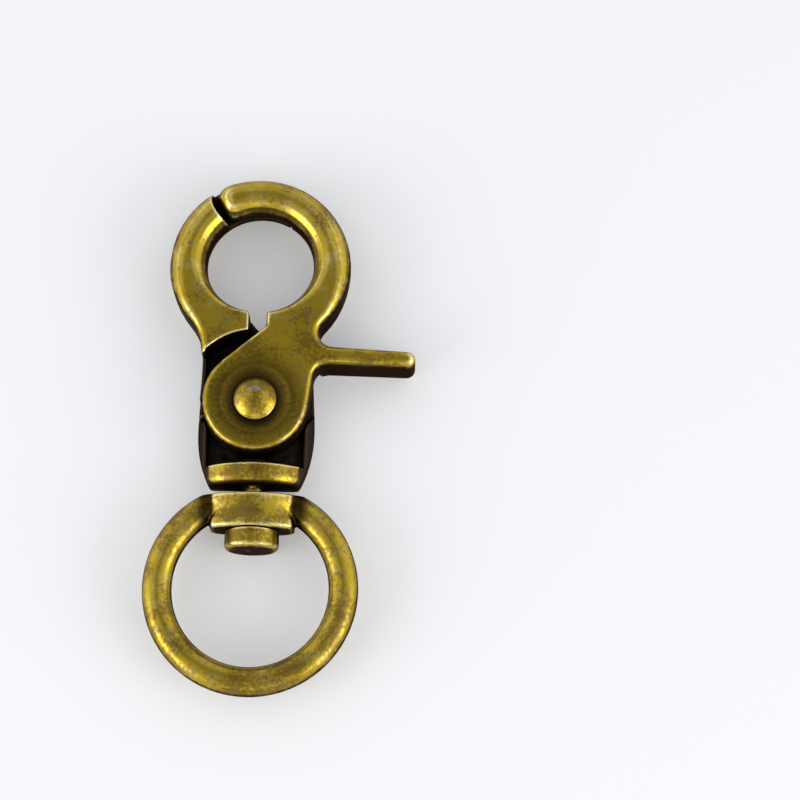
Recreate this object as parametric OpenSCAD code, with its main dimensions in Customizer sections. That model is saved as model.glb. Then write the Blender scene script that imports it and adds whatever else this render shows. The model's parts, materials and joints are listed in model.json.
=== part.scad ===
// Swivel trigger snap hook: a cast body and a sprung gate lever close one loop,
// and a ring turns on a stud in the foot of the body.
// It lies on its back. The lever pivots about the Z axis and the ring swivels about the Y axis.

/* [Loop] */
// Radius of the loop's opening
loop_r = 6.75; // [6:0.05:8]
// Width of the bar that forms the loop
bar_w = 4.7; // [4.2:0.05:5.6]
// Distance from the pivot to the loop's centre
loop_y = 18; // [17.5:0.1:19.5]
// Thickness of the hook from back to front
thick = 6.5; // [6:0.1:8]
// Edge radius of the bar round the loop's outside
bar_edge = 2.2; // [1.2:0.05:2.25]
// Edge radius of the bar round the loop's top inside
bore_edge = 2; // [1.2:0.05:2.05]
// Depth of a rounded edge for each millimetre of its width
edge_deep = 1.4; // [1:0.05:1.45]
// Angle on the loop about which the joint of tip and jaw is hollowed
tip_turn = 107; // [100:1:112]
// Radius of the hollow that the lever's tip fills
tip_r = 3; // [2.7:0.05:3.4]
// Corner radius of the lever's tip
tip_corner = 2.15; // [2:0.05:2.2]
// Gap between the lever's tip and the body's jaw
tip_gap = 0.7; // [0.4:0.05:1]
// Angle on the loop at which the body's rear tongue ends
tongue_end = 58; // [45:1:70]
// Half width of the notch under the loop
notch_w = 1.1; // [0.8:0.05:1.6]

/* [Body] */
// Half width of the body at its waist
waist_w = 6.95; // [6.9:0.05:7.4]
// Half width of the body at its belly
belly_w = 7.3; // [7.15:0.05:8]
// Half width of the foot's lower face
foot_w = 5.5; // [4.8:0.05:6.2]
// Distance from the pivot to the foot's lower face
foot_y = 10.6; // [10.4:0.1:12]
// Length of the solid foot that holds the stud
foot_len = 2.6; // [1.8:0.05:2.75]
// Thickness of the plate behind the lever
plate = 1.5; // [1.2:0.05:1.6]
// Height of the low walls beside the lever
wall_z = 3.1; // [2.8:0.05:3.6]
// Thickness of the low walls beside the pocket
wall = 1.3; // [0.7:0.05:1.6]
// Radius of the foot's rounded front
drum_r = 8; // [7.8:0.1:10]
// Rounding of the drum's lower end
drum_e = 1.2; // [0.6:0.05:1.4]
// Edge radius of the castings
cast_edge = 0.8; // [0.4:0.05:1]

/* [Gate lever] */
// Radius of the lever's hub
hub_r = 6.6; // [6:0.05:6.65]
// Radius of the arc on which body and lever part
step_r = 8.95; // [8.8:0.05:9.1]
// Lean of the hub's right flank
flank_lean = 8; // [4:1:12]
// Distance from the pivot to the end of the thumb piece
thumb_x = 19.8; // [16:0.1:24]
// Height of the thumb piece's end above the pivot
thumb_y = 5.45; // [5.2:0.05:5.8]
// Radius of the thumb piece's rounded end
thumb_r = 1.05; // [0.9:0.05:1.3]
// Radius of the dished seat round the rivet
dish_r = 4.35; // [3.8:0.05:5]
// Depth of the dished seat
dish_d = 0.6; // [0.3:0.05:0.9]
// Widest opening of the lever
open_turn = 24; // [10:1:26]

/* [Rivet and spring] */
// Radius of the rivet's shank
shank_r = 1.3; // [1:0.05:1.4]
// Radius of the rivet's domed head
dome_r = 2.7; // [2.3:0.05:3]
// Height of the rivet's domed head
dome_h = 1.5; // [1:0.05:1.8]
// Thickness of the spring's wire
wire_d = 0.5; // [0.4:0.02:0.54]
// Middle radius of the spring's coil
coil_r = 2.55; // [2.5:0.05:2.7]
// Rise of the coil in one turn
coil_pitch = 0.6; // [0.56:0.01:0.66]

/* [Swivel] */
// Radius of the stud's neck
neck_r = 1.5; // [1.2:0.05:1.6]
// Radius of the stud's head
head_r = 3.35; // [2.8:0.05:3.4]
// Length of the stud's head
head_len = 2.4; // [1.8:0.1:4]
// Height of the stud's axis above the back
axis_z = 3.4; // [3.4:0.05:3.7]
// Gap between the foot and the ring's collar
foot_gap = 1.25; // [0.9:0.05:2]
// Height of the ring's collar
collar_h = 4.3; // [3.6:0.1:6]
// Half width of the ring's collar
collar_w = 5.2; // [4.6:0.05:6]
// Half depth of the ring's collar
collar_d = 3.4; // [3:0.05:3.4]
// Radius of the collar's bowed front and back
collar_bow = 9.7; // [8:0.1:14]
// Depth of the collar's waist
collar_dip = 0.5; // [0.2:0.05:0.7]
// Radius of the ring at the middle of its wire
ring_r = 11.42; // [10:0.02:14]
// Radius of the ring's wire
ring_wire = 1.82; // [1.4:0.02:2]

/* [Clearances] */
// Gap between the lever and the body
gap = 0.2; // [0.12:0.02:0.24]
// Radial clearance of a turning fit
run = 0.05; // [0.02:0.01:0.09]
// Radial clearance of a fixed pin
fit = 0.02; // [0.01:0.01:0.04]

/* [Hidden] */
$fn = 96;

mid = thick / 2;
bar_r = loop_r + bar_w;
bar_mid = loop_r + bar_w / 2;
loop_c = [0, loop_y];
tip_c = loop_c + bar_mid * [cos(tip_turn), sin(tip_turn)];
web_z = plate + wire_d + 0.3;
plate_r = step_r - 0.15;
seat_z = thick - dish_d;
pocket_y = foot_len - foot_y;
lean = [sin(flank_lean), cos(flank_lean)];
flank_n = [cos(flank_lean), -sin(flank_lean)];
brass = [0.6, 0.51, 0.22];
steel = [0.62, 0.61, 0.58];

// Points of an arc, each with the edge radius of the side that follows it.
function arc(c, r, a0, a1, n, e0, e1) = [for (i = [0 : n])
    let (a = a0 + (a1 - a0) * i / n)
    [c[0] + r * cos(a), c[1] + r * sin(a), e0 + (e1 - e0) * i / n]];

// Points of a Bezier curve through four handles, with an even edge radius.
function curve(p0, p1, p2, p3, n, e) = [for (i = [0 : n])
    let (t = i / n, s = 1 - t, p = s*s*s*p0 + 3*s*s*t*p1 + 3*s*t*t*p2 + t*t*t*p3)
    [p[0], p[1], e]];

function flat(list) = [for (part = list) for (p = part) p];
function mirror_x(list) = [for (i = [len(list) - 1 : -1 : 0]) [-list[i][0], list[i][1], list[i][2]]];
function angle_to(p, q) = atan2(q[1] - p[1], q[0] - p[0]);

// An outline without the points that repeat the one before them.
function clean(o) = let (n = len(o)) [for (i = [0 : n - 1])
    let (q = o[(i + 1) % n])
    if (norm([o[i][0] - q[0], o[i][1] - q[1]]) > 0.02) o[i]];

// Outward normal of the side that starts at point i of a counter-clockwise outline.
function side_normal(o, i) = let (
    p = o[i],
    q = o[(i + 1) % len(o)],
    d = [q[0] - p[0], q[1] - p[1]])
    [d[1], -d[0]] / norm(d);

// Where corner i goes when the sides beside it move in by a share of their edge radii.
function inset(o, i, share) = let (
    n = len(o),
    h = (i + n - 1) % n,
    a = side_normal(o, h),
    b = side_normal(o, i),
    ra = o[h][2] * share,
    rb = o[i][2] * share,
    turn = a[0] * b[1] - a[1] * b[0],
    p = [o[i][0], o[i][1]])
    a * b > 0.8
        ? p - (ra + rb) / 2 * (a + b) / (1 + a * b)
        : p + [rb * a[1] - ra * b[1], ra * b[0] - rb * a[0]] / turn;

// A casting: the outline raised from the back to the front, with both edges rounded.
module casting(o, h) {
    n = len(o);
    steps = 4;
    turns = [for (k = [0 : steps]) 90 * k / steps];
    low = [for (f = turns) [for (i = [0 : n - 1])
        let (p = inset(o, i, 1 - sin(f)), e = (o[i][2] + o[(i + n - 1) % n][2]) / 2)
        [p[0], p[1], e * edge_deep * (1 - cos(f))]]];
    high = [for (f = turns) [for (i = [0 : n - 1])
        let (p = inset(o, i, 1 - cos(f)), e = (o[i][2] + o[(i + n - 1) % n][2]) / 2)
        [p[0], p[1], h - e * edge_deep * (1 - sin(f))]]];
    points = flat(concat(low, high));
    last = 2 * steps + 1;
    sides = [for (k = [0 : last - 1]) for (i = [0 : n - 1])
        [k * n + i, (k + 1) * n + i, (k + 1) * n + (i + 1) % n, k * n + (i + 1) % n]];
    ends = [[for (i = [0 : n - 1]) i], [for (i = [n - 1 : -1 : 0]) last * n + i]];
    polyhedron(points, concat(sides, ends), convexity = 8);
}

// A flat sector of the loop, from one angle to another.
module sector(a0, a1) {
    polygon([for (p = concat([[0, 0, 0]], arc([0, 0], 2 * bar_r, a0, a1, 8, 0, 0))) [p[0], p[1]]]);
}

// Side of the body from the foot's lower face up to the waist, which ends at a given height.
function side(end_y) = flat([
    curve([foot_w, -foot_y], [foot_w + 1, 1.7 - foot_y], [belly_w, -6.2], [belly_w, -3.3], 8, cast_edge),
    curve([belly_w, -3.3], [belly_w, -0.5], [waist_w, min(2, end_y - 1)], [waist_w, end_y], 6, 0.5)]);
plate_y = sqrt(pow(plate_r, 2) - pow(waist_w, 2));

// Sill of the back plate across the notch, with a shallow V in its edge.
sill_w = notch_w - gap;
sill = [[sill_w, loop_y - loop_r - 0.25, 0.2], [0, (step_r + loop_y - loop_r) / 2, 0.2]];

// Fillet between the waist and the loop on the left.
neck_fillet = 7;
fillet_c = [-waist_w - neck_fillet,
    loop_y - sqrt(pow(bar_r + neck_fillet, 2) - pow(waist_w + neck_fillet, 2))];
fillet_turn = angle_to(fillet_c, loop_c);

body_outline = clean(flat([
    arc(loop_c, bar_r, tongue_end, 165, 18, bar_edge, bar_edge),
    arc(loop_c, bar_r, 165, 180 + fillet_turn, 9, bar_edge, cast_edge),
    arc(fillet_c, neck_fillet, fillet_turn, 0, 6, cast_edge, cast_edge),
    mirror_x(side(min(plate_y, fillet_c[1]))),
    side(plate_y),
    arc([0, 0], plate_r, acos(waist_w / plate_r), acos(sill_w / plate_r), 6, 0.3, 0.2),
    sill,
    arc(loop_c, loop_r, 270 - asin(notch_w / loop_r), 180, 12, 0.35, bore_edge),
    arc(loop_c, loop_r, 180, tongue_end, 16, bore_edge, bore_edge)]));

// Turn on the loop of the tip's two corners.
tip_end = tip_turn + (tip_r - tip_corner) / bar_mid * 180 / PI;
tip_out = loop_c + (bar_r - tip_corner) * [cos(tip_end), sin(tip_end)];
tip_in = loop_c + (loop_r + tip_corner) * [cos(tip_end), sin(tip_end)];

// Thumb piece: an end circle, a lower side and an upper side that widen to the root.
thumb_c = [thumb_x - thumb_r, thumb_y];
low_tilt = -1.35;
top_tilt = -3.1;
low_n = [sin(low_tilt), -cos(low_tilt)];
top_n = [-sin(top_tilt), cos(top_tilt)];

// Fillet between the hub's flank and the thumb piece.
root_r = 1.8;
root_f = hub_r + root_r;
root_g = thumb_c * low_n + thumb_r + root_r;
root_c = [root_f * low_n[1] - root_g * flank_n[1], root_g * flank_n[0] - root_f * low_n[0]]
    / (flank_n[0] * low_n[1] - flank_n[1] * low_n[0]);

// Fillet between the thumb piece and the loop.
crook_r = 1.75;
crook_v = thumb_c + (thumb_r + crook_r) * top_n - loop_c;
crook_t = [cos(top_tilt), sin(top_tilt)];
crook_s = crook_v * crook_t - sqrt(pow(crook_v * crook_t, 2) - crook_v * crook_v + pow(bar_r + crook_r, 2));
crook_c = loop_c + crook_v - crook_s * crook_t;
crook_a = angle_to(loop_c, crook_c);

// Corner of the lever beside the notch, and the turn at which its flank meets the hub.
lip = [notch_w, step_r + 0.55];
lip_turn = angle_to([0, 0], lip) + acos(hub_r / norm(lip));

lever_outline = clean(flat([
    arc(loop_c, bar_r, crook_a, 10, 8, cast_edge, bar_edge),
    arc(loop_c, bar_r, 10, tip_end - 18, 14, bar_edge, bar_edge),
    arc(loop_c, bar_r, tip_end - 18, tip_end, 4, bar_edge, 1.85),
    arc(tip_out, tip_corner, tip_end, tip_end + 90, 6, 1.85, 1.85),
    arc(tip_in, tip_corner, tip_end + 90, tip_end + 180, 6, 1.85, 1.85),
    arc(loop_c, loop_r, tip_end, tip_end - 24, 4, 1.85, bore_edge),
    arc(loop_c, loop_r, tip_end - 24, 0, 13, bore_edge, bore_edge),
    arc(loop_c, loop_r, 0, asin(notch_w / loop_r) - 90, 12, bore_edge, 0.35),
    [[lip[0], lip[1], 0.35]],
    arc([0, 0], hub_r, lip_turn, 360 - flank_lean, 24, 0.6, 0.6),
    arc(root_c, root_r, 180 - flank_lean, 90 + low_tilt, 5, 0.6, 0.8),
    arc(thumb_c, thumb_r, low_tilt - 90, 90 + top_tilt, 8, 0.8, 0.8),
    arc(crook_c, crook_r, top_tilt - 90, crook_a - 180, 7, 0.8, cast_edge)]));

// Body casting with its lap joint, window and pocket, brought to the hook's thickness.
module body_casting() {
    resize([0, 0, thick]) difference() {
        casting(body_outline, thick);
        // front half of the lap joint, with the hollow end face of the jaw
        translate([0, loop_y, mid - gap / 2]) rotate([0, 0, tip_turn - 90]) cube([14, 14, thick]);
        translate([tip_c[0], tip_c[1], mid - gap / 2]) cylinder(r = tip_r + tip_gap, h = thick);
        // window for the lever, from the back plate to the front
        intersection() {
            translate([0, 0, plate]) cylinder(r = step_r, h = thick);
            translate([0.5 - waist_w, -1, 0]) cube([step_r + waist_w, step_r + 2, 2 * thick]);
        }
        translate([-notch_w, step_r - 1, plate]) cube([3, loop_y - loop_r - step_r + 2.5, thick]);
        translate([-12, pocket_y, wall_z]) cube([24, -pocket_y - 0.5, thick]);
        translate([-12, -0.8, wall_z]) cube([12.8 - waist_w, 6.8, thick]);
        // pocket between the low walls
        translate([0, 0, plate]) cylinder(r = hub_r + gap, h = thick);
        translate([wall - belly_w, pocket_y, plate]) cube([2 * (belly_w - wall), -pocket_y - 3.2, thick]);
        // swing of the hub's flank
        rotate([0, 0, -open_turn - 1]) translate(hub_r * flank_n) rotate([0, 0, -flank_lean])
            translate([-6, 0, plate]) cube([6, 7, thick]);
        // spring's notch in the left wall
        translate([-belly_w - 1, leg_end[1] - wire_d / 2 - 0.35, plate])
            cube([3, wire_d + 0.6, thick]);
    }
}

// Half section of the drum that rounds the foot's front.
module drum_side() {
    square([drum_r, foot_y + 1 - drum_e]);
    square([drum_r - drum_e, foot_y + 1.5]);
    translate([drum_r - drum_e, foot_y + 1 - drum_e]) circle(r = drum_e, $fn = 48);
}

module hook_body() {
    color(brass) difference() {
        body_casting();
        // rounded front of the foot
        difference() {
            translate([-12, -foot_y - 1, -1]) cube([24, foot_y + 1.5, thick + 2]);
            translate([0, 1, thick - 0.3 - drum_r]) rotate([90, 0, 0]) rotate_extrude() drum_side();
        }
        // holes for the rivet and the stud
        translate([0, 0, -1]) cylinder(r = shank_r + fit, h = 4);
        translate([0, 0, -0.01]) cylinder(r1 = shank_r + 0.7 + fit, r2 = shank_r + fit, h = 0.75);
        translate([0, pocket_y + 1, axis_z]) rotate([90, 0, 0]) cylinder(r = neck_r + fit, h = foot_len + 2);
    }
}

// Lever casting with its lap joint and hollow back, brought to the hook's thickness.
module lever_casting() {
    resize([0, 0, thick]) difference() {
        casting(lever_outline, thick);
        // rear half of the lap joint
        translate([0, loop_y, -1]) linear_extrude(mid + gap / 2 + 1) sector(tongue_end - 0.6, 160);
        // seat on the body's back plate
        translate([0, 0, -1]) cylinder(r = step_r + gap, h = web_z + 1);
        translate([-notch_w, step_r - 0.6, -1]) cube([2 * notch_w + 0.1, lip[1] + 0.7 - step_r, web_z + 1]);
        // groove for the coil
        translate([0, 0, web_z - 1]) cylinder(r = coil_r + wire_d / 2 + 0.3, h = coil_h + 1);
        // slot for the coil's upper leg
        translate([leg_from[0], leg_from[1], 0]) rotate([0, 0, leg_turn - 90])
            translate([-0.6, -0.4, web_z - 1]) cube([leg_len + 0.9, 0.8, coil_h + 1]);
        // dished seat of the rivet's head
        translate([0, 0, seat_z]) cylinder(r1 = dome_r + 0.25, r2 = dish_r + 0.1, h = dish_d + 0.04);
    }
}

module gate_lever() {
    color(brass) difference() {
        union() {
            lever_casting();
            // sleeve that runs on the back plate
            translate([0, 0, plate + 0.05]) cylinder(r = coil_r - wire_d / 2 - 0.3, h = seat_z - plate - 0.5);
        }
        translate([0, 0, -1]) cylinder(r = shank_r + run, h = thick + 2);
    }
}

module pivot_rivet() {
    cap = dome_h - 0.3;
    ball = (dome_r * dome_r + cap * cap) / (2 * cap);
    color(brass) union() {
        cylinder(r = shank_r, h = seat_z + 0.24);
        cylinder(r1 = shank_r + 0.66, r2 = shank_r, h = 0.66);
        translate([0, 0, seat_z + 0.04]) cylinder(r = dome_r, h = 0.3);
        translate([0, 0, seat_z + 0.34]) intersection() {
            translate([0, 0, cap - ball]) sphere(r = ball);
            cylinder(r = dome_r, h = cap + 1);
        }
    }
}

// Spring: a lower leg, the coil and an upper leg, swept by one round wire.
leg_z = plate + wire_d / 2 + 0.06;
coil_turns = 2.5;
coil_h = coil_turns * coil_pitch + wire_d + 0.1;
leg_end = [0.15 - belly_w, -1.5];
leg_start = angle_to([0, 0], leg_end) - acos(coil_r / norm(leg_end));
leg_turn = leg_start - 360 * coil_turns;
leg_from = coil_r * [cos(leg_turn), sin(leg_turn)];
leg_len = 2.6;

function coil_point(t) = let (a = leg_start - 360 * t)
    [coil_r * cos(a), coil_r * sin(a), leg_z + coil_pitch * t];

module torsion_spring() {
    n = 60;
    sides = 8;
    top = coil_point(coil_turns);
    out = [sin(leg_turn), -cos(leg_turn), 0];
    path = concat([[leg_end[0], leg_end[1], leg_z]], [for (i = [0 : n]) coil_point(coil_turns * i / n)],
        [top + leg_len * out]);
    last = len(path) - 1;
    points = flat([for (i = [0 : last]) let (
        d = path[min(i + 1, last)] - path[max(i - 1, 0)],
        s = cross([0, 0, 1], d) / norm(cross([0, 0, 1], d)),
        u = cross(d, s) / norm(d))
        [for (j = [0 : sides - 1]) path[i] + wire_d / 2 * (cos(360 * j / sides) * s + sin(360 * j / sides) * u)]]);
    tube = [for (i = [0 : last - 1]) for (j = [0 : sides - 1])
        [i * sides + j, i * sides + (j + 1) % sides, (i + 1) * sides + (j + 1) % sides, (i + 1) * sides + j]];
    ends = [[for (j = [sides - 1 : -1 : 0]) j], [for (j = [0 : sides - 1]) last * sides + j]];
    color(steel) polyhedron(points, concat(tube, ends), convexity = 6);
}

// Stud: head, neck and the tail peened in the pocket, turned about the Y axis.
module swivel_stud() {
    collar_low = foot_y + foot_gap + collar_h;
    head_top = collar_low + 0.1;
    tail_r = min(neck_r + 0.35, axis_z - plate - 0.05);
    color(brass) translate([0, 0, axis_z]) rotate([90, 0, 0]) union() {
        translate([0, 0, -pocket_y - 0.9]) cylinder(r = neck_r, h = head_top + pocket_y + 1.4);
        translate([0, 0, -pocket_y - 0.92]) cylinder(r1 = tail_r - 0.3, r2 = tail_r, h = 0.3);
        translate([0, 0, -pocket_y - 0.62]) cylinder(r = tail_r, h = 0.6);
        translate([0, 0, head_top]) rotate_extrude() stud_head();
    }
}

module stud_head() {
    e = 0.6;
    square([head_r, head_len - e]);
    square([head_r - e, head_len]);
    translate([head_r - e, head_len - e]) circle(r = e, $fn = 48);
}

// Ring and collar in one casting.
module swivel_ring() {
    top = -foot_y - foot_gap;
    ring_y = top - 1.25 - sqrt(pow(ring_r, 2) - pow(collar_w - 0.3, 2));
    color(brass) difference() {
        union() {
            // ring, ending inside the collar
            difference() {
                translate([0, ring_y, axis_z]) rotate_extrude() translate([ring_r, 0]) circle(r = ring_wire);
                translate([-collar_w + 0.9, top - collar_h, -1]) cube([2 * collar_w - 1.8, collar_h + 4, 10]);
                translate([-9, top + 0.05, -1]) cube([18, 4, 10]);
            }
            translate([0, top, axis_z]) rotate([90, 0, 0]) collar();
        }
        translate([0, top + 1, axis_z]) rotate([90, 0, 0]) cylinder(r = neck_r + run, h = collar_h + 2);
    }
}

// Right half of the collar's outline, from the back to the front, at an inset from its rims.
function collar_half(d) = let (
    w = collar_w - d,
    mid_z = collar_d - d - collar_bow,
    edge = w - 0.5,
    edge_z = mid_z + sqrt(pow(collar_bow, 2) - pow(edge, 2)),
    fall = edge / (edge_z - mid_z),
    side_z = edge_z - 0.5 - 0.5 * fall,
    turn = asin(edge / collar_bow),
    corner = curve([w, side_z], [w, side_z + 0.3], [edge + 0.3, edge_z - 0.3 * fall], [edge, edge_z], 3, 0),
    front = [for (a = [turn * 5 / 6 : -turn / 6 : turn / 12]) [collar_bow * sin(a), mid_z + collar_bow * cos(a)]])
    concat([for (i = [len(front) - 1 : -1 : 0]) [front[i][0], -front[i][1]]],
        [for (i = [3 : -1 : 0]) [corner[i][0], -corner[i][1]]],
        [for (p = corner) [p[0], p[1]]],
        front);

// Collar: a block with a bowed front and back, rims and a hollow waist, drawn out along Z.
module collar() {
    rim = 0.6;
    soft = 0.3;
    heights = concat([for (a = [0 : 30 : 90]) [soft * (1 - cos(a)), soft * (1 - sin(a))]],
        [for (i = [0 : 8]) [rim + (collar_h - 2 * rim) * i / 8, collar_dip * pow(sin(180 * i / 8), 2)]],
        [for (a = [90 : -30 : 0]) [collar_h - soft * (1 - cos(a)), soft * (1 - sin(a))]]);
    rows = len(heights);
    m = len(collar_half(0));
    n = 2 * m;
    points = flat([for (h = heights) let (half = collar_half(h[1]))
        concat([for (p = half) [p[0], p[1], h[0]]], [for (p = half) [-p[0], -p[1], h[0]]])]);
    sides = [for (k = [0 : rows - 2]) for (i = [0 : n - 1])
        [k * n + i, (k + 1) * n + i, (k + 1) * n + (i + 1) % n, k * n + (i + 1) % n]];
    ends = [[for (i = [0 : n - 1]) i], [for (i = [n - 1 : -1 : 0]) (rows - 1) * n + i]];
    polyhedron(points, concat(sides, ends), convexity = 4);
}

hook_body();
gate_lever();
pivot_rivet();
torsion_spring();
swivel_stud();
swivel_ring();
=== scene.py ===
# %% [markdown]
# # A swivel snap hook in antique brass
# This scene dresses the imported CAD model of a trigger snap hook. Each casting gets a skin with soft edges.
# Each skin carries a measured map of how worn and how sheltered it is, and the brass reads that map. The
# hook lies on a white floor under a light tent, seen from almost straight above.

import json
import math
from types import SimpleNamespace

import bpy
import numpy as np
from mathutils import Matrix, Vector
from mathutils.bvhtree import BVHTree


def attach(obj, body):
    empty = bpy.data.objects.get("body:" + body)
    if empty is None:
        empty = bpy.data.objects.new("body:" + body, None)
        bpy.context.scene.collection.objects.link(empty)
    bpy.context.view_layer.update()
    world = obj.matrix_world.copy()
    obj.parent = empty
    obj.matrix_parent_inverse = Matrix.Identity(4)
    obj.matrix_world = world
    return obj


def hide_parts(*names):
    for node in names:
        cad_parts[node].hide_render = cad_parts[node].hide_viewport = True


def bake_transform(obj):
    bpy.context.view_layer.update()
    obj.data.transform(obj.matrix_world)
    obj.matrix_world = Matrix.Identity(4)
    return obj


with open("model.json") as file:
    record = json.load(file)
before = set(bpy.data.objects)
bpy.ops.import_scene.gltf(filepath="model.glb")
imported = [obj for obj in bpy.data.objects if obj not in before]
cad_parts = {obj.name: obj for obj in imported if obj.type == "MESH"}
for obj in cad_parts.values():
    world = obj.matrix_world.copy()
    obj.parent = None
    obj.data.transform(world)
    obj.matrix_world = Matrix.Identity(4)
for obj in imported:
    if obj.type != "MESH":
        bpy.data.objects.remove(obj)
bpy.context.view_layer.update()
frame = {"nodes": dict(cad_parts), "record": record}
nodes = frame["nodes"]
MM = 0.001

# %% [markdown]
# ## Skins with soft cast edges
# A casting has no sharp edge: metal shrinks as it cools, and the polishing wheel rounds the rest. The CAD
# solid keeps most edges sharp. A bevel works badly on the long thin triangles of such a solid, so a copy
# is rebuilt as small even squares and then smoothed a little. The rounding is about one and a half
# squares wide, so the square's size sets how soft the part looks. The spring is round wire and stays as
# it is.

# %% Make a softened copy of each CAD node
BODY_OF = {
    node: name for name, group in frame["record"]["behaviour"]["bodies"].items() for node in group
}


def skin(node, square, rounds):
    """A copy of a CAD node with soft edges, which stands for the node.

    square is the size of the even squares in mm, or 0 for a plain copy, and rounds says how often the copy
    is smoothed.
    """
    source = nodes[node]
    piece = bpy.data.objects.new(node + "_skin", source.data.copy())
    bpy.context.scene.collection.objects.link(piece)
    if square:
        remesh = piece.modifiers.new("even squares", "REMESH")
        remesh.mode = "VOXEL"
        remesh.voxel_size = square * MM
        smooth = piece.modifiers.new("soft edges", "SMOOTH")
        smooth.factor = 0.5
        smooth.iterations = rounds
        graph = bpy.context.evaluated_depsgraph_get()
        mesh = bpy.data.meshes.new_from_object(piece.evaluated_get(graph))
        piece.modifiers.clear()
        piece.data = mesh
    piece.data.shade_smooth()
    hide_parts(node)
    print(f"{piece.name}: {len(piece.data.polygons)} faces")
    return piece


SCALE = 1.0
skins = {
    "hook_body": skin("hook_body", 0.15 * SCALE, 5),
    "gate_lever": skin("gate_lever", 0.15 * SCALE, 5),
    "swivel_ring": skin("swivel_ring", 0.16 * SCALE, 4),
    "pivot_rivet": skin("pivot_rivet", 0.1 * SCALE, 3),
    "swivel_stud": skin("swivel_stud", 0.12 * SCALE, 3),
    "torsion_spring": skin("torsion_spring", 0, 0),
}

# %% [markdown]
# ## Where the brass is open to the wheel
# Antique brass is blackened all over and then buffed. The wheel reaches broad faces and proud edges, and
# misses hollows and deep sides. Painting that by hand would be lost with the next change of shape, so two
# values are measured at each point of a skin. The first, `open`, is the share of directions above the
# point in which nothing stands within a few millimetres.

# %% Measure openness
REACH = 3.0 * MM
LIFT = 0.06 * MM
RAYS = 18


def directions(count):
    """Unit directions spread evenly over a half sphere round +Z, as a spiral."""
    turn = math.pi * (3 - math.sqrt(5))
    out = []
    for i in range(count):
        z = (i + 0.5) / count
        r = math.sqrt(1 - z * z)
        out.append(Vector((r * math.cos(turn * i), r * math.sin(turn * i), z)))
    return out


def tree_of(pieces):
    """One search tree over the faces of several pieces."""
    points, faces = [], []
    for piece in pieces:
        start = len(points)
        points += [v.co.copy() for v in piece.data.vertices]
        faces += [[start + i for i in p.vertices] for p in piece.data.polygons]
    return BVHTree.FromPolygons(points, faces)


def openness(piece, tree):
    """Share of open directions at every point of a piece, from just off its surface."""
    spread = directions(RAYS)
    values = np.empty(len(piece.data.vertices), dtype=np.float32)
    for i, vertex in enumerate(piece.data.vertices):
        normal = vertex.normal
        turn = normal.to_track_quat("Z", "X")
        start = vertex.co + normal * LIFT
        clear = 0
        for way in spread:
            hit = tree.ray_cast(start, turn @ way, REACH)[0]
            clear += hit is None
        values[i] = clear / RAYS
    return values


everything = tree_of(skins.values())
open_shares = {node: openness(piece, everything) for node, piece in skins.items()}
for node, shares in open_shares.items():
    print(f"{node}: {shares.mean():.2f} of the directions are open")

# %% [markdown]
# ## Where the brass stands proud
# The second value, `edge`, says how much the surface bulges at a point. It is the point's height over the
# mean place of its neighbours, so it needs no rays, and it is evened out because single squares are rough.

# %% Measure the bulge and store both maps
EVENINGS = 3


def edge_ends(piece):
    """The two points at the ends of each edge, as rows of two."""
    ends = np.empty(2 * len(piece.data.edges), dtype=np.int64)
    piece.data.edges.foreach_get("vertices", ends)
    return ends.reshape(-1, 2)


def neighbours_mean(piece, values):
    """Mean of a value over the points joined to each point by an edge."""
    ends = edge_ends(piece)
    total = np.zeros(values.shape, dtype=np.float64)
    count = np.zeros(len(values))
    for a, b in ((0, 1), (1, 0)):
        np.add.at(total, ends[:, a], values[ends[:, b]])
        np.add.at(count, ends[:, a], 1)
    count = np.maximum(count, 1)
    return total / (count if values.ndim == 1 else count[:, None])


def evened(piece, values):
    """Each value moved half way to the mean of its neighbours."""
    return 0.5 * values + 0.5 * neighbours_mean(piece, values)


def bulge(piece):
    """How far each point stands out from its neighbours, evened over a few rings of points."""
    places = np.empty(3 * len(piece.data.vertices))
    normals = np.empty(3 * len(piece.data.vertices))
    piece.data.vertices.foreach_get("co", places)
    piece.data.vertices.foreach_get("normal", normals)
    places, normals = places.reshape(-1, 3), normals.reshape(-1, 3)
    away = np.einsum("ij,ij->i", places - neighbours_mean(piece, places), normals)
    ends = edge_ends(piece)
    step = np.linalg.norm(places[ends[:, 0]] - places[ends[:, 1]], axis=1).mean()
    value = away / step / step * MM
    for _ in range(EVENINGS):
        value = evened(piece, value)
    return value


def store(piece, name, values):
    """Keeps one value per point on a piece, where a material can read it."""
    layer = piece.data.attributes.new(name, "FLOAT", "POINT")
    layer.data.foreach_set("value", np.asarray(values, dtype=np.float32))


for node, piece in skins.items():
    edge = bulge(piece)
    store(piece, "open", evened(piece, open_shares[node]))
    store(piece, "edge", edge)
    marks = [round(float(np.percentile(edge, q)), 2) for q in (5, 50, 95)]
    print(f"{piece.name}: edge at 5, 50 and 95 percent {marks}")

# %% [markdown]
# ## Shader sums written as sums
# A material is a small program of nodes, and a long one is hard to read as boxes and wires. This class
# wraps a node's output, so that the program reads as arithmetic.

# %% Wrap a shader socket


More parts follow.
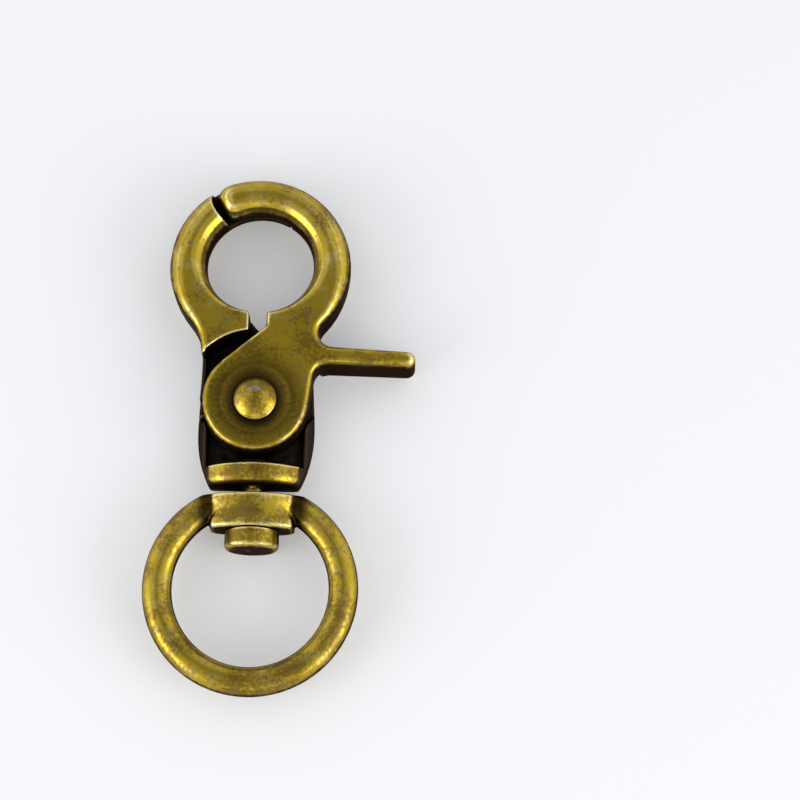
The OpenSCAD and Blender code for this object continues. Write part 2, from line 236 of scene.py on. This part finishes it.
class Sum:
    """A number, colour or shader in a node tree, which can be worked on and fed to other nodes."""

    def __init__(self, tree, socket=None):
        self.tree = tree
        self.socket = socket

    def node(self, kind, inputs, output=0, **settings):
        """Adds any node, sets its settings, fills its inputs and returns one of its outputs."""
        made = self.tree.nodes.new(kind)
        for key, value in settings.items():
            setattr(made, key, value)
        fill(made, inputs)
        return Sum(self.tree, made.outputs[output])

    def maths(self, operation, other=0.0, clamp=False):
        """One Math node on this number and another."""
        return self.node("ShaderNodeMath", {0: self, 1: other}, operation=operation, use_clamp=clamp)

    def __add__(self, other):
        return self.maths("ADD", other)

    def __radd__(self, other):
        return self.maths("ADD", other)

    def __sub__(self, other):
        return self.maths("SUBTRACT", other)

    def __rsub__(self, other):
        return self.maths("MULTIPLY", -1.0) + other

    def __mul__(self, other):
        return self.maths("MULTIPLY", other)

    def __rmul__(self, other):
        return self.maths("MULTIPLY", other)

    def __pow__(self, other):
        return self.maths("POWER", other)

    def clamp(self):
        """The same number, kept between 0 and 1."""
        return self.maths("ADD", 0.0, clamp=True)

    def between(self, start, end):
        """0 below start, 1 above end and a smooth rise from one to the other."""
        inputs = {"Value": self, "From Min": start, "From Max": end}
        return self.node("ShaderNodeMapRange", inputs, interpolation_type="SMOOTHSTEP")

    def mix(self, colour_a, colour_b):
        """The first colour where this is 0 and the second where it is 1."""
        inputs = {0: self, 6: colour_a, 7: colour_b}
        return self.node("ShaderNodeMix", inputs, 2, data_type="RGBA", clamp_factor=True)

    def distance(self, centre):
        """How far this place is from the centre."""
        return self.node("ShaderNodeVectorMath", {0: self, 1: centre}, "Value", operation="DISTANCE")


def fill(made, inputs):
    """Joins or sets the inputs of a node, which are listed by name or number."""
    for key, value in inputs.items():
        if isinstance(value, Sum):
            value.tree.links.new(value.socket, made.inputs[key])
        else:
            made.inputs[key].default_value = value


def new_material(name):
    """A material with the usual shader and output, and its node tree."""
    material = bpy.data.materials.new(name)
    material.use_nodes = True
    return material, material.node_tree


# %% [markdown]
# ## What the brass knows about a point
# All layers of the finish share these maps: where the point is, how it faces, how open and proud it is,
# and clouds of four sizes. Places are read from the piece itself and not from the world, so that the wear
# stays where it is when the lever or the ring turns.

# %% Gather the maps of a point
LOOP_BEGINS = (6.0, 11.0)
SHELTERED = (0.22, 0.62)
PROUD = (0.10, 0.55)


def noise(place, scale, detail, stretch=(1, 1, 1), turn=0.0, shift=(0, 0, 0)):
    """A cloud with that many features to the millimetre, from about 0 to about 1."""
    mapping = {"Vector": place, "Scale": stretch, "Rotation": (0, 0, turn), "Location": shift}
    moved = place.node("ShaderNodeMapping", mapping, vector_type="POINT")
    inputs = {"Vector": moved, "Scale": scale, "Detail": detail, "Roughness": 0.6}
    return place.node("ShaderNodeTexNoise", inputs, 0)


def maps_of(tree):
    """The maps of a point by name: its place in mm, its facing, how open and proud it is, and clouds.

    The four clouds lie round 0, and loop rises from 0 to 1 where the hook's loop begins.
    """
    start = Sum(tree)
    metres, normal = (start.node("ShaderNodeTexCoord", {}, output) for output in ("Object", "Normal"))
    place = start.node("ShaderNodeVectorMath", {0: metres, 1: (1 / MM,) * 3}, operation="MULTIPLY")
    x, y, z = (start.node("ShaderNodeSeparateXYZ", {0: place}, axis) for axis in "XYZ")
    opening = start.node("ShaderNodeAttribute", {}, "Fac", attribute_name="open")
    edge = start.node("ShaderNodeAttribute", {}, "Fac", attribute_name="edge")
    return SimpleNamespace(
        place=place,
        x=x,
        y=y,
        z=z,
        up=start.node("ShaderNodeSeparateXYZ", {0: normal}, "Z"),
        loop=y.between(*LOOP_BEGINS),
        opening=opening,
        sheltered=1.0 - opening.between(*SHELTERED),
        proud=edge.between(*PROUD),
        broad=noise(place, 0.20, 3, shift=(3, 5, 2)) - 0.5,
        clouds=noise(place, 0.6, 5) - 0.5,
        grain=noise(place, 2.4, 6, shift=(7, 3, 1)) - 0.5,
        specks=noise(place, 6.0, 3, shift=(2, 9, 4)) - 0.5,
    )


# %% [markdown]
# ## The layers of antique brass
# Three layers lie over each other: bare brass, a brown film in clouds, and the black patina. The maps
# decide which one shows, and the clouds break up the border between them. A flat colour with a rough
# border would look painted, so each layer also has its own tones: bare brass turns pale where it is
# rubbed most and shows specks of copper, and the patina is a little paler on open sides. Part of the
# pale is painted highlight, and at a few listed places brown and black are painted as shade.
# The buffing wheel works from the front and from the back, so it never reaches the faces deep inside the
# hook. `reach` holds the height under which a face that looks down is buffed, and the one over which a
# face that looks up is. Each range below says from where to where a layer comes in.

# %% Make the layers
BRASS = (0.455, 0.318, 0.013, 1)
PALE_AND_SHEEN = (0.83, 0.69, 0.23, 1)
COPPER = (0.52, 0.38, 0.25, 1)
FILM_AND_SHADE_BROWN = (0.150, 0.088, 0.005, 1)
PATINA_AND_SHADE_BLACK = (0.011, 0.005, 0.004, 1)
SIDE = (0.042, 0.031, 0.024, 1)
SEAT = (0.030, 0.017, 0.005, 1)
FLAT = (0.15, 0.78)
WHEEL_FITS = (0.26, 0.66)
BUFFED = (0.25, 0.75)
FILM_AND_SHADE_SHOWS = (0.05, 0.80)
PALE_AND_SHEEN_SHOWS = (0.28, 0.95)
PALE_AND_SHEEN_FITS = (0.4, 0.75)
COPPER_SHOWS = (0.07, 0.22)
SCRATCH_STRENGTH = 0.8
SCRATCHES = (
    # stretch, turn, shift, and the range in which a scratch begins to show
    ((0.35, 16, 0.5), 0.9, (0, 0, 0), (0.62, 0.70)),
    ((0.30, 13, 0.4), -0.5, (5, 2, 0), (0.63, 0.71)),
    ((0.30, 15, 0.4), 0.2, (1, 8, 0), (0.64, 0.72)),
)


def fine_scratches(at):
    """Thin straight scratches in three directions, on all but the hook's loop."""
    lines = sum(noise(at.place, 1.0, 2, stretch, turn, shift).between(*shown)
                for stretch, turn, shift, shown in SCRATCHES)
    return lines.clamp() * (1.0 - at.loop) * SCRATCH_STRENGTH


def buffing(at, wear, reach):
    """1 where the wheel has laid the metal bare, and 0 where the patina stays."""
    flat = at.up.maths("ABSOLUTE").between(*FLAT)
    share = (flat * 0.72 + 0.25 + at.proud * 0.5) * at.opening.between(*WHEEL_FITS)
    if reach:
        from_back, from_front = reach
        looks_up = at.up.between(-0.1, 0.1)
        front = at.z.between(from_front - 0.5, from_front + 0.3)
        back = 1.0 - at.z.between(from_back - 0.3, from_back + 0.5)
        share = share * (looks_up * front + (1.0 - looks_up) * back)
    return (share * wear + at.clouds * 0.75 + at.grain * 0.6).between(*BUFFED)


def brown_film_and_shade(at, painted_shade_spots):
    """1 under the brown film, which lies in clouds and is thin on proud edges, and where brown is painted as
    shade at the places listed.
    """
    film_and_shade = at.broad * 2.4 + at.clouds * 1.6 + at.grain * 2.2 + at.specks * 0.8
    # The loop gets less brown, partly as wear and partly as painted light.
    film_and_shade = film_and_shade + 0.40 - at.proud * 0.6 - at.loop * 0.26
    # Brown painted as shade at the listed places.
    for centre, inner, outer in painted_shade_spots:
        film_and_shade = film_and_shade + (1.0 - at.place.distance(centre).between(inner, outer)) * 0.5
    return film_and_shade.between(*FILM_AND_SHADE_SHOWS)


def bare_metal(at, extra_pale_and_sheen, scratches):
    """The colour of bare brass, pale where it is rubbed most and paler as painted highlight on the loop and
    on the paler pieces, with specks of copper showing through.
    """
    # Paleness from wear on proud edges, in clouds and along scratches, and painted highlight on the loop and
    # from the extra paleness.
    rubbed_and_sheen = at.proud * 0.9 + at.clouds * 1.4 + at.grain * 0.8 + at.loop * 0.38
    rubbed_and_sheen = rubbed_and_sheen + extra_pale_and_sheen + scratches * 0.3
    rubbed_and_sheen = rubbed_and_sheen.between(*PALE_AND_SHEEN_SHOWS) * at.opening.between(*PALE_AND_SHEEN_FITS)
    through = (at.specks + at.clouds * 0.6 + at.proud * 0.12).between(*COPPER_SHOWS)
    return (through * 0.5).mix(rubbed_and_sheen.mix(BRASS, PALE_AND_SHEEN), COPPER)


def black_places(at, seat, shade_hollows, flanks):
    """The places painted black: patina in the rivet's seat, black painted as shade in the hollows, and the
    collar's dark sides, each as its mask, its colour and how much of it covers.
    """
    places = []
    if seat:
        radius = (at.x * at.x + at.y * at.y) ** 0.5 + at.clouds * 1.2 + at.broad * 1.5
        places.append((1.0 - radius.between(*seat), SEAT, 1.0))
    # Each hollow is black painted as shade, where shade falls in the pocket round the stud's neck.
    for centre, inner, outer in shade_hollows:
        away = at.place.distance(centre) + at.clouds * 0.8
        places.append((1.0 - away.between(inner, outer), PATINA_AND_SHADE_BLACK, 1.0))
    if flanks:
        start, end, lowest = flanks
        across = at.x.maths("ABSOLUTE") + at.clouds * 0.3
        side = across.between(start - 0.25, start + 0.1) * (1.0 - across.between(end, end + 1.6))
        places.append((side * at.y.between(lowest - 0.6, lowest), PATINA_AND_SHADE_BLACK, 0.9))
    return places


# %% [markdown]
# ## The layers put together
# Such hardware is lacquered after buffing. The lacquer adds a soft white gloss over the yellow one of the
# metal, which is what makes the bars' highlights look pale. In the shader it is the coat, on the buffed
# metal alone, because the patina is dull. Metal that is seen at a low angle mirrors the white tent, but
# the rims of the real hook stay dark, so RIM_TINT darkens what the metal mirrors there. Fine pits, far
# below a tenth of a millimetre deep, are a bump that breaks up the reflections.

# %% Make the brass
LACQUER = 0.4
LACQUER_ROUGHNESS = 0.22
METAL_ROUGHNESS = 0.30
RIM_TINT = (0.36, 0.30, 0.27, 1)
SCUFF = (0.30, 0.25, 0.28, 1)
PIT_DEPTH = 0.06 * MM
PIT_STRENGTH = 0.22
WIRE_GREY = (0.12, 0.11, 0.10, 1)


def brass(name, wear, extra_pale_and_sheen=0.0, reach=None, seat=None, shade_hollows=(), scuffs=(), flanks=None, painted_shade_spots=()):
    """Brass with patina. A higher wear leaves less patina, and the third number adds pale metal, partly as
    wear and partly as painted highlight.

    reach holds the two heights in mm between which inner faces stay black, and seat the two radii in mm
    round the pivot between which the black of the rivet's seat fades out. Only a piece with a seat is
    scratched. hollows lists places where black is painted as shade, each as a centre and the two radii in
    mm between which its black fades out. scuffs lists places where something has scraped the metal grey,
    and the last list holds places where brown is painted as shade. flanks holds two distances from the
    middle and a place along the collar, in mm: the collar's sides are painted black between those
    distances, from that place up to the stud.
    """
    material, tree = new_material(name)
    at = maps_of(tree)
    scratches = fine_scratches(at) if seat else 0.0
    polish = buffing(at, wear, reach)
    film_and_shade = brown_film_and_shade(at, painted_shade_spots)
    metal = (film_and_shade * 0.85).mix(bare_metal(at, extra_pale_and_sheen, scratches), FILM_AND_SHADE_BROWN)
    colour = polish.mix(at.sheltered.mix(SIDE, PATINA_AND_SHADE_BLACK), metal)
    lacquer = polish * LACQUER
    for mask, black, cover in black_places(at, seat, shade_hollows, flanks):
        colour = (mask * cover).mix(colour, black)
        lacquer = lacquer * (1.0 - mask)
    for centre, inner, outer in scuffs:
        away = at.place.distance(centre) + at.grain * 0.7
        colour = away.between(inner, outer).mix(SCUFF, colour)

    rough = METAL_ROUGHNESS + film_and_shade * 0.10 + (1.0 - polish) * 0.12 + at.sheltered * 0.22
    rough = rough - scratches * 0.05
    height = at.grain * 0.5 + at.specks * 0.35 + scratches * 0.25
    pits = {"Height": height, "Strength": PIT_STRENGTH, "Distance": PIT_DEPTH}
    fill(tree.nodes["Principled BSDF"], {
        "Base Color": colour,
        "Roughness": rough,
        "Metallic": 1.0,
        "Specular Tint": RIM_TINT,
        "Coat Weight": lacquer,
        "Coat Roughness": LACQUER_ROUGHNESS,
        "Normal": height.node("ShaderNodeBump", pits),
    })
    return material


def wire_steel():
    """Dull grey spring wire."""
    material, tree = new_material("spring_wire")
    fill(tree.nodes["Principled BSDF"], {"Base Color": WIRE_GREY, "Metallic": 1.0, "Roughness": 0.4})
    return material


# %% [markdown]
# ## Each piece gets its own wear
# The loose ring is the palest casting, and the rivet's dome, which stands over all, keeps the least
# patina; part of their paleness is painted highlight. One brass for all would miss that, and five separate
# ones would repeat their nodes' settings, so each piece calls the same function with its own wear. The
# black seat round the rivet is patina where the real hook shows it. The black on the stud's neck and the
# brown clouds on the foot, the collar's front and the ring's lower side are painted shade, and the
# collar's sides are painted dark. Their places, heights and radii are in millimetres, in the part's own
# frame.

# %% Put the finishes on
WHEEL_REACH = (2.0, 4.1)
RIVET_SEAT = (2.4, 7.6)
# Brown painted as shade: on the foot's face, the collar's front and the ring's lower side.
FOOT_PAINTED_SHADE = [((x, -9.3, 6.2), 0.8, 2.6) for x in (-2.5, 1.5)]
COLLAR_PAINTED_SHADE = ((0.3, -13.9, 6.4), 0.5, 2.2)
RING_PAINTED_SHADE = ((0, -38.5, 1.5), 2.5, 6.5)
COLLAR_FLANKS = (4.9, 5.9, -16.3)
RIVET_SCUFFS = [((x, 0.95 + 0.15 * x, 7.1), 0.1, 0.45) for x in (-0.6, -0.2, 0.2, 0.5)]
# Black painted as shade on the stud's neck, inside the body's pocket.
STUD_NECK_SHADE = ((0, -7.6, 3.4), 2.6, 3.2)

finishes = {
    "hook_body": brass("cast_brass", 1.0, reach=WHEEL_REACH, painted_shade_spots=FOOT_PAINTED_SHADE),
    "gate_lever": brass("lever_brass", 1.0, reach=WHEEL_REACH, seat=RIVET_SEAT),
    "swivel_ring": brass("ring_brass", 1.05, 0.36, flanks=COLLAR_FLANKS, painted_shade_spots=[COLLAR_PAINTED_SHADE, RING_PAINTED_SHADE]),
    "pivot_rivet": brass("rivet_brass", 1.3, 0.3, scuffs=RIVET_SCUFFS),
    "swivel_stud": brass("stud_brass", 1.1, 0.1, shade_hollows=[STUD_NECK_SHADE]),
    "torsion_spring": wire_steel(),
}
for node, material in finishes.items():
    skins[node].data.materials.clear()
    skins[node].data.materials.append(material)
    print(f"{node}: {material.name}, {len(material.node_tree.nodes)} shader nodes")

# %% [markdown]
# ## A white floor
# The floor is a wide matt sheet, which isn't part of the object. Lamps strong enough to turn it white
# would bleach the brass. So it glows a little by itself, for the camera and in reflections alone, and
# still shows the hook's shadow.

# %% Lay the floor
FLOOR_SIDE = 3.0
FLOOR_DROP = 0.02 * MM
FLOOR_WHITE = (0.85, 0.855, 0.865, 1)
GLOW_WHITE = (0.98, 0.985, 1.0, 1)
GLOW = 0.20


def floor():
    """A matt white sheet under the hook, which glows a little for the camera and in reflections."""
    bpy.ops.mesh.primitive_plane_add(size=FLOOR_SIDE, location=(0, 0, -FLOOR_DROP))
    sheet = bpy.context.object
    sheet.name = "floor"
    material, tree = new_material("floor_white")
    matt = tree.nodes["Principled BSDF"]
    fill(matt, {"Base Color": FLOOR_WHITE, "Roughness": 0.9, "Specular IOR Level": 0.1})
    start = Sum(tree)
    seen = start.node("ShaderNodeLightPath", {}, "Is Camera Ray")
    for ray in ("Is Glossy Ray", "Is Transmission Ray"):
        seen = seen.maths("MAXIMUM", start.node("ShaderNodeLightPath", {}, ray))
    glow = start.node("ShaderNodeEmission", {"Color": GLOW_WHITE})
    both = start.node("ShaderNodeMixShader", {0: seen * GLOW, 1: Sum(tree, matt.outputs[0]), 2: glow})
    fill(tree.nodes["Material Output"], {"Surface": both})
    sheet.data.materials.append(material)
    return sheet


print("floor in m:", [round(side, 2) for side in floor().dimensions])

# %% [markdown]
# ## Panels and a light tent
# Brass mirrors what stands round it, so lamps alone would leave it black between their highlights. The
# world is a tent of soft light instead. Flat faces that look up mirror one patch of it to the camera, and
# that patch is dim, which gives them their olive tone. The tent is brighter down both sides, and a little
# brighter behind the hook than in front. Two low panels, left and right in front of the hook, draw the
# pale lines along its rounded edges. A third, weaker one stands in front.

# %% Set up the lights
TILT = math.radians(15.5)
HOOK_MIDDLE = (0.004, -0.003, 0.004)
PANELS = {
    # place, width, height and power in watts
    "left": ((-0.46, -0.24, 0.20), 0.42, 0.28, 1.2),
    "right": ((0.46, -0.24, 0.20), 0.42, 0.28, 1.2),
    "front": ((0.0, -0.60, 0.30), 0.4, 0.15, 0.25),
}
TENT_WHITE = (0.97, 0.98, 1.0, 1)
TENT_LEVEL = 0.68
PATCH_DEPTH = 0.44
PATCH_RADII = (0.20, 0.62)
PATCH_SQUEEZE = 3.2
HORIZON = 0.2
SIDES = 0.75
BEHIND = 0.10


def panel(name, place, width, height, power):
    """A soft rectangular light that looks at the hook."""
    light = bpy.data.lights.new(name, "AREA")
    light.shape = "RECTANGLE"
    light.size = width
    light.size_y = height
    light.energy = power
    lamp = bpy.data.objects.new(name, light)
    lamp.location = place
    lamp.rotation_euler = (Vector(HOOK_MIDDLE) - Vector(place)).to_track_quat("-Z", "Y").to_euler()
    bpy.context.scene.collection.objects.link(lamp)
    print(f"{name} panel: {width} by {height} m, {power} W")


def tent():
    """The world: a level of light for each direction.

    TENT_LEVEL is the level all round. The dim patch takes PATCH_DEPTH off it, is narrowed from side to side
    and ends at the horizon. SIDES and BEHIND are what the tent gains in those directions.
    """
    world = bpy.data.worlds.new("tent")
    world.use_nodes = True
    tree = world.node_tree
    way = Sum(tree).node("ShaderNodeTexCoord", {}, "Generated")
    x, y, z = (way.node("ShaderNodeSeparateXYZ", {0: way}, axis) for axis in "XYZ")
    aside = (x * x * PATCH_SQUEEZE + (y - math.sin(TILT)) ** 2) ** 0.5
    dim = (1.0 - aside.between(*PATCH_RADII)) * z.between(0.0, HORIZON)
    level = TENT_LEVEL - PATCH_DEPTH * dim + SIDES * x * x + BEHIND * y
    fill(tree.nodes["Background"], {"Color": TENT_WHITE, "Strength": level})
    return world


for name, (place, width, height, power) in PANELS.items():
    panel(name, place, width, height, power)
bpy.context.scene.world = tent()

# %% [markdown]
# ## The camera
# The photograph looks down on the table at fifteen and a half degrees from straight down, from about
# 30 centimetres. The hook lay turned by nearly one degree, so the camera is turned instead.

# %% Set the camera
TWIST = math.radians(0.93)
DISTANCE = 0.300
AIM = Vector((0.017948, 0.000650, 0.0032))
LENS = 108
SENSOR = 36
NEAR = 0.01
FAR = 20

right = Vector((1, 0, 0))
up = Vector((0, math.cos(TILT), math.sin(TILT)))
back = Vector((0, -math.sin(TILT), math.cos(TILT)))
stand = AIM + back * DISTANCE
turn = Matrix.Rotation(TWIST, 4, "Z")
axes = Matrix((right, up, back)).transposed().to_4x4()
optics = bpy.data.cameras.new("camera")
optics.lens = LENS
optics.sensor_width = SENSOR
optics.clip_start = NEAR
optics.clip_end = FAR
camera = bpy.data.objects.new("camera", optics)
camera.matrix_world = turn @ Matrix.Translation(stand) @ axes
bpy.context.scene.collection.objects.link(camera)
bpy.context.scene.camera = camera
bpy.context.scene.view_settings.view_transform = "Standard"
print("camera at", [round(c, 4) for c in camera.matrix_world.translation])

# %% [markdown]
# ## Skins on their bodies
# Every skin but the spring's rides on the body of the CAD node that it stands for, so the poses move it
# with the joints. The spring's skin has its place baked into its mesh and rides on no body. On a real
# hook its lower leg stays with the body, its upper leg turns with the lever, and the coil between those
# two heights winds up.

for node, piece in skins.items():
    if node == "torsion_spring":
        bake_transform(piece)
    else:
        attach(piece, BODY_OF[node])
